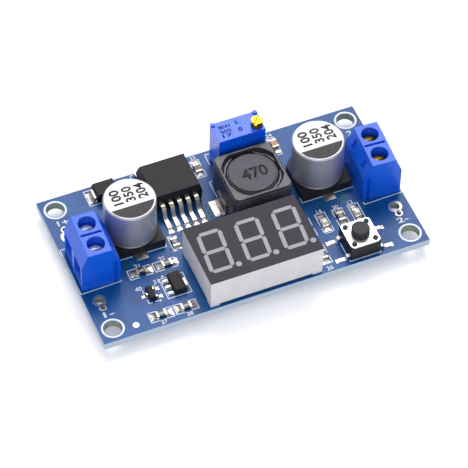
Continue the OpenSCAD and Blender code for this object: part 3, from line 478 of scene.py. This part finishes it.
WIRE_X, WIRE_Y = (along / MM for along in mounts["output_plus_wire_hole"]["pos_m"][:2])
SMALL_HOLE_AWAY = 1.8
WIRE_PADS = (
    # distance from the centre line, bore, outside
    (WIRE_Y, 1.76, 2.75), (WIRE_Y + SMALL_HOLE_AWAY, 0.96, 1.5),
)
TARGET_AT, TARGET_R = (-25.95, -16), 0.6
rings = bmesh.new()
for x in (-WIRE_X, WIRE_X):
    for side in (-1, 1):
        for away, bore, outside in WIRE_PADS:
            ring(rings, x, side * away, bore, outside, PAD_Z)
bmesh.ops.create_circle(rings, cap_ends=True, segments=32, radius=TARGET_R * MM,
                        matrix=Matrix.Translation(point(*TARGET_AT, PAD_Z)))
settle("wire_pads", rings, tin, "board", depth=0.03 * MM)

VIAS = (
    # beside the inductor
    (-3.2, 5.3), (-2.8, 4.4), (-3.45, 3.5), (-3.2, 2.6),
    # in front of the input capacitor and beside the regulator's leads
    (-23.6, -1.5), (-22.7, -2.2), (-22.3, -1.4), (-21.5, -2.3), (-13.1, 0.4), (-12.9, -0.8), (-13.3, -1.8),
    # in front of the output capacitor
    (17.4, -1.5), (16.8, -2.6), (18.0, -2.7), (21.2, -2.2), (22.2, -1.6),
    (21.9, -3.0), (20.9, -3.2), (19.6, -3.2),
    # beside the inductor, a second row
    (-4.2, 3.0), (-4.1, 4.9),
)
VIA_RING, VIA_BORE_R = (0.35, 0.8), 0.18
tents = bmesh.new()
# The via bores are flat near-black discs: painted shade standing in for the dark inside the holes.
bore_shade = bmesh.new()
for x, y in VIAS:
    ring(tents, x, y, *VIA_RING, BOARD_TOP + 0.02 * MM, steps=20)
    bmesh.ops.create_circle(bore_shade, cap_ends=True, segments=16, radius=VIA_BORE_R * MM,
                            matrix=Matrix.Translation(point(x, y, BOARD_TOP + 0.01 * MM)))
settle("tented_vias", tents, finish("mask_over_copper", "0f6a78", "0c5a86", (0.25, 0.4), grain=0.2), "board",
       depth=0.015 * MM)
settle("via_bore_shade", bore_shade, finish("via_shadow", "04142c", "061a30", (0.5, 0.7), grain=0.1), "board",
       depth=0.005 * MM)
dress(tin, "solder_joints")

# ---------------------------------------------------------------- terminal blocks
# Two-pole blocks moulded in blue nylon, open to the wire side. Each pole has a brass cage
# with a threaded top, a steel clamp under it, and a slotted screw down in a well.

nylon = finish("blue_nylon", "085ce0", "054ecc", (0.25, 0.4), grain=0.35, bump=0.004, cover=0.5,
               edge=0.12, gloss=0.4)
dress(nylon, "input_block_housing", "output_block_housing")
brass = finish("contact_brass", "c8a14e", "a8823a", (0.25, 0.45), grain=0.2, bump=0.003, metallic=1.0)
dress(brass, "input_block_contacts", "output_block_contacts")
zinc = finish("zinc_plating", "eeeef2", "cfcfd6", (0.25, 0.45), grain=0.12, bump=0.008, metallic=0.7)
dress(zinc, "input_plus_screw", "input_minus_screw", "input_plus_clamp", "input_minus_clamp",
      "output_plus_clamp", "output_minus_clamp")
dress(finish("yellow_zinc", "d9b23c", "a8801c", (0.22, 0.42), grain=0.12, bump=0.006, metallic=1.0),
      "output_plus_screw", "output_minus_screw")

# ---------------------------------------------------------------- electrolytic capacitors
# A drawn aluminium can crimped over its rubber, on a black moulded base with two flat leads.
# The top is printed white with a black segment over the negative lead, and plain figures.

satin_can = finish("satin_aluminium", "c9c8d0", "b9b8c1", (0.38, 0.5), grain=0.2, bump=0.001, metallic=0.8)
dress(satin_can, "input_capacitor_can", "output_capacitor_can")
moulded_black = finish("moulded_black", "1b1b20", "26262b", (0.4, 0.6), grain=0.15, bump=0.004)
dress(moulded_black, "input_capacitor_base", "output_capacitor_base")
dress(tin, "input_capacitor_leads", "output_capacitor_leads")


def inked_specks(tree, where, surface, shader):
    """Pale pinholes in the black ink."""
    grid = put(tree, "ShaderNodeTexNoise", {"Vector": where, "Scale": 6500.0, "Detail": 1.0})
    pin = put(tree, "ShaderNodeMapRange", {"Value": grid.outputs[0], "From Min": 0.64, "From Max": 0.7,
                                           "To Max": 0.6})
    tree.links.new(mixed(tree, pin.outputs[0], surface.outputs["Colour"], hue("8b8790")),
                   shader.inputs["Base Color"])


top_white = finish("printed_white", "f0eff2", "e2e1e8", (0.4, 0.6), grain=0.2, bump=0.001)
top_black = finish("printed_black", "1a171b", "242026", (0.3, 0.5), grain=0.2, bump=0.001,
                   build=inked_specks)
PRINT_R = 4.62
CHORD = -1.66
ROWS, ROW_PITCH = ("100", "350", "204"), 2.5
FIRST_ROW, ROW_MIDDLE = -2.35, 1.15
ROW_TALL, ROW_WIDE = 1.95, 3.7
for side in ("input", "output"):
    low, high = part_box(side + "_capacitor_can")
    middle = (low + high) / 2
    x, y, z = middle.x / MM, middle.y / MM, high.z + 0.012 * MM
    for part, material, keep, slot in (("white", top_white, 1, "display_white"),
                                       ("segment", top_black, -1, "base_black")):
        disc = bmesh.new()
        bmesh.ops.create_circle(disc, cap_ends=True, segments=96, radius=PRINT_R * MM,
                                matrix=Matrix.Translation(point(x, y, z)))
        bmesh.ops.bisect_plane(disc, geom=disc.verts[:] + disc.edges[:] + disc.faces[:],
                               plane_co=point(x, y + CHORD, z), plane_no=(0, -keep, 0), clear_outer=True)
        settle(f"{side}_capacitor_{part}", disc, material, "board", depth=0.008 * MM)
    figures = bmesh.new()
    for row, text in enumerate(ROWS):
        numeral(figures, text, x + FIRST_ROW + ROW_PITCH * row, y + ROW_MIDDLE, ROW_TALL, 90, z + 0.01 * MM,
                width=ROW_WIDE)
    settle(side + "_capacitor_figures", figures, top_black, "board", depth=0.008 * MM)

# ---------------------------------------------------------------- regulator
# A five-lead power package: a charcoal epoxy body moulded over a tinned copper tab that is
# soldered flat to the board, with gull-wing leads.

epoxy = finish("charcoal_epoxy", "1b191e", "242227", (0.45, 0.65), grain=0.12, bump=0.006, cover=0.6, edge=0.06)
dress(epoxy, "regulator_body", "diode_body", "supply_chip_body", "transistor_body", "controller_body")
leads = finish("tinned_leads", "d8d3c8", "b3ada3", (0.25, 0.42), grain=0.3, bump=0.003, metallic=1.0)
dress(leads, "regulator_leads", "regulator_tab", "diode_leads", "supply_chip_leads", "transistor_leads",
      "controller_leads")

# ---------------------------------------------------------------- inductor
# A ferrite drum wound with enamelled copper inside a square ferrite shield, glued at its
# corners, with tinned clips on two sides. A plain number is stamped on the drum.

dress(finish("ferrite_shield", "2a2a33", "3d3d48", (0.25, 0.42), grain=0.35, bump=0.01, cover=0.6,
             edge=0.25, gloss=0.5), "inductor_shield")
dress(finish("ferrite_drum", "41414d", "4d4d5a", (0.35, 0.5), grain=0.3, bump=0.008, cover=0.5, edge=0.2),
      "inductor_core")
dress(finish("enamelled_copper", "5a2c18", "7a3c1e", (0.25, 0.4), grain=0.2), "inductor_winding")
dress(tin, "inductor_terminals")
low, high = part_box("inductor_core")
middle = (low + high) / 2
GLUE_SECTION = (
    # radius, depth below the top of the drum
    (4.86, 0.3), (5.0, 0.42), (5.3, 0.5), (5.6, 0.42), (5.98, 0.12),
)
WAVE_TALL, WAVE_LONG = 0.16 * MM, 0.9 * MM
glue = bmesh.new()
rims = []
for radius, sink in GLUE_SECTION:
    centre = Matrix.Translation((middle.x, middle.y, high.z - sink * MM))
    rims.append(bmesh.ops.create_circle(glue, segments=72, radius=radius * MM, matrix=centre)["verts"])
for inner, outer in zip(rims, rims[1:]):
    bridge(glue, inner, outer)
for v in glue.verts:
    v.co.z += WAVE_TALL * noise.noise(v.co / WAVE_LONG)
settle("inductor_glue", glue, finish("black_glue", "101015", "1a1a20", (0.08, 0.2), grain=0.5, bump=0.01,
                                     gloss=0.5), "board", smooth=True)
stamp = bmesh.new()
numeral(stamp, "470", middle.x / MM + 0.35, middle.y / MM - 0.15, 2.7, 0, high.z + 0.014 * MM, width=5.2)
settle("inductor_figures", stamp, finish("stamped_grey", "26262d", "2c2c33", (0.4, 0.6), grain=0.15), "board",
       depth=0.01 * MM)

# ---------------------------------------------------------------- trimmer
# A sealed multi-turn trimmer in a blue moulded case, turned by a slotted brass screw.

dress(finish("trimmer_blue", "065cf2", "0450dc", (0.2, 0.35), grain=0.3, bump=0.003, edge=0.1, gloss=0.5),
      "trimmer_housing")
dress(finish("trimmer_brass", "e0aa30", "b07a14", (0.2, 0.38), grain=0.12, bump=0.004, metallic=1.0),
      "trimmer_screw")
dress(tin, "trimmer_pins")
low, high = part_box("trimmer_housing")
TRIMMER_MARKS = (
    # figures, centre, height, width
    ("8041", 4.15, 14.55, 0.8, 2.3), ("502", 4.1, 13.4, 0.8, 2.2), ("17", 4.0, 12.3, 0.8, 2.0),
    ("2", 6.75, 14.75, 0.8, 0.7), ("5", 6.85, 12.85, 0.95, 0.95),
)
NUB_TALL = 0.33 * MM
marks = bmesh.new()
for text, x, y, height, width in TRIMMER_MARKS:
    numeral(marks, text, x, y, height, 0, high.z - NUB_TALL, width=width)
settle("trimmer_figures", marks, finish("stamped_navy", "05204f", "04183c", (0.4, 0.6), grain=0.15), "board",
       depth=0.01 * MM)

# ---------------------------------------------------------------- display
# A white moulded reflector housing, with a dark printed face through which the light pipes of
# three digits and their points come up. A near-black block inside its foot is painted shade, put
# there so the slit under the foot shows as shadow.

dress(finish("display_white", "dddcdd", "d1d0d3", (0.45, 0.6), grain=0.3, bump=0.003, edge=0.1),
      "display_housing")
dress(finish("face_black", "231e29", "29242f", (0.42, 0.56), grain=0.2, bump=0.003), "display_face")
dress(finish("light_pipe", "a39fa8", "9692a0", (0.4, 0.6), grain=0.25, bump=0.004), "display_segments")
dress(finish("carrier_tan", "2a2420", "332b25", (0.5, 0.7), grain=0.3), "display_carrier")
dress(tin, "display_pins")
low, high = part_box("display_housing")
middle, span = (low + high) / 2, high - low
# Painted shade: a near-black block inside the housing's foot, so the slit under it renders as a dark shadow
# line.
SLIT_SHADE_TALL, SLIT_SHADE_Z = 0.8 * MM, 0.44 * MM
INSET_X, INSET_Y = 1.0 * MM, 0.9 * MM
slit_shade = bmesh.new()
bmesh.ops.create_cube(slit_shade, size=1, matrix=Matrix.Translation(middle))
bmesh.ops.scale(slit_shade, vec=(span.x - INSET_X, span.y - INSET_Y, SLIT_SHADE_TALL), verts=slit_shade.verts,
                space=Matrix.Translation(-middle))
bmesh.ops.translate(slit_shade, verts=slit_shade.verts, vec=(0, 0, BOARD_TOP + SLIT_SHADE_Z - middle.z))
bmesh.ops.bevel(slit_shade, geom=slit_shade.edges[:], offset=0.15 * MM, offset_type="OFFSET", affect="EDGES",
                segments=2, profile=0.5, material=-1)
settle("display_slit_shade", slit_shade, finish("slit_shade_black", "0a090b", "100f12", (0.5, 0.7), grain=0.3), "board")

# ---------------------------------------------------------------- push button
# A tact switch: a black base with a pressed steel cover held by four rivet heads, a domed
# spring and a black plunger, soldered down by four gull-wing leads.

dress(moulded_black, "button_base")
dress(finish("pressed_steel", "d8d8de", "c2c2ca", (0.3, 0.45), grain=0.3, bump=0.002, metallic=0.9),
      "button_cover")
dress(finish("plunger_black", "2a2a2f", "323238", (0.4, 0.55), grain=0.15, bump=0.003), "button_plunger")
dress(zinc, "button_dome", "button_leads")

# ---------------------------------------------------------------- chip parts and lamps
# Resistors of black glass on ceramic, capacitors of sintered ceramic, both with tinned end
# caps, and two lamps cast in clear resin on white blanks. The resistors carry plain numbers.

cap_group, given = new_group("end_caps", (("Vector", "Vector", None), ("Inner", "Float", 0.0006)),
                             (("Mask", "Float"),))
along = put(cap_group, "ShaderNodeSeparateXYZ", {0: given["Vector"]})
put(cap_group, "NodeGroupOutput",
    {"Mask": calc(cap_group, "GREATER_THAN", calc(cap_group, "ABSOLUTE", along.outputs["X"]),
                  given["Inner"])})


def capped(name, colour, shade, rough, inner=0.58, lens=None):
    """Dresses a chip part: tin beyond inner from its middle, and its own colour between."""
    low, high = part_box(name)
    upright = high.y - low.y > high.x - low.x

    def ends(tree, where, surface, shader):
        turned = put(tree, "ShaderNodeMapping", {"Vector": where, "Location": (low + high) / -2})
        spun = put(tree, "ShaderNodeMapping", {"Vector": turned.outputs[0],
                                               "Rotation": (0, 0, math.pi / 2 if upright else 0)})
        caps = put(tree, "ShaderNodeGroup", {"Vector": spun.outputs[0]}, node_tree=cap_group)
        caps.inputs["Inner"].default_value = inner * MM
        base = surface.outputs["Colour"]
        if lens:
            height = put(tree, "ShaderNodeSeparateXYZ", {0: where})
            over = calc(tree, "GREATER_THAN", height.outputs["Z"], BOARD_TOP + 0.42 * MM)
            base = mixed(tree, over, base, hue(lens))
        tree.links.new(mixed(tree, caps.outputs[0], base, hue("a79c94")), shader.inputs["Base Color"])
        tree.links.new(caps.outputs[0], shader.inputs["Metallic"])

    glaze = finish(name + "_glaze", colour, shade, rough, grain=0.12, bump=0.004, build=ends, coat_weight=0.3)
    dress(glaze, name)


RESISTOR_MARKS = {1: "105", 2: "105", 3: "105", 6: "684", 7: "105", 8: "684", 10: "105"}
values = bmesh.new()
for number, text in RESISTOR_MARKS.items():
    name = f"resistor_{number}"
    capped(name, "1d1a1c", "2c282a", (0.25, 0.4))
    low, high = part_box(name)
    standing = high.y - low.y > high.x - low.x
    numeral(values, text, (low.x + high.x) / 2 / MM, (low.y + high.y) / 2 / MM, 0.6, 90 if standing else 0,
            high.z + 0.01 * MM, width=0.95)
settle("resistor_figures", values, white_ink, "board", depth=0.008 * MM)
capped("capacitor_3", "7a5a48", "6a4c3c", (0.35, 0.5))
capped("capacitor_4", "b98a5c", "a87a4e", (0.35, 0.5))
for name in ("input_lamp", "output_lamp"):
    capped(name, "f2f0e6", "e6e3d4", (0.15, 0.3), inner=0.75, lens="f4f1dc")
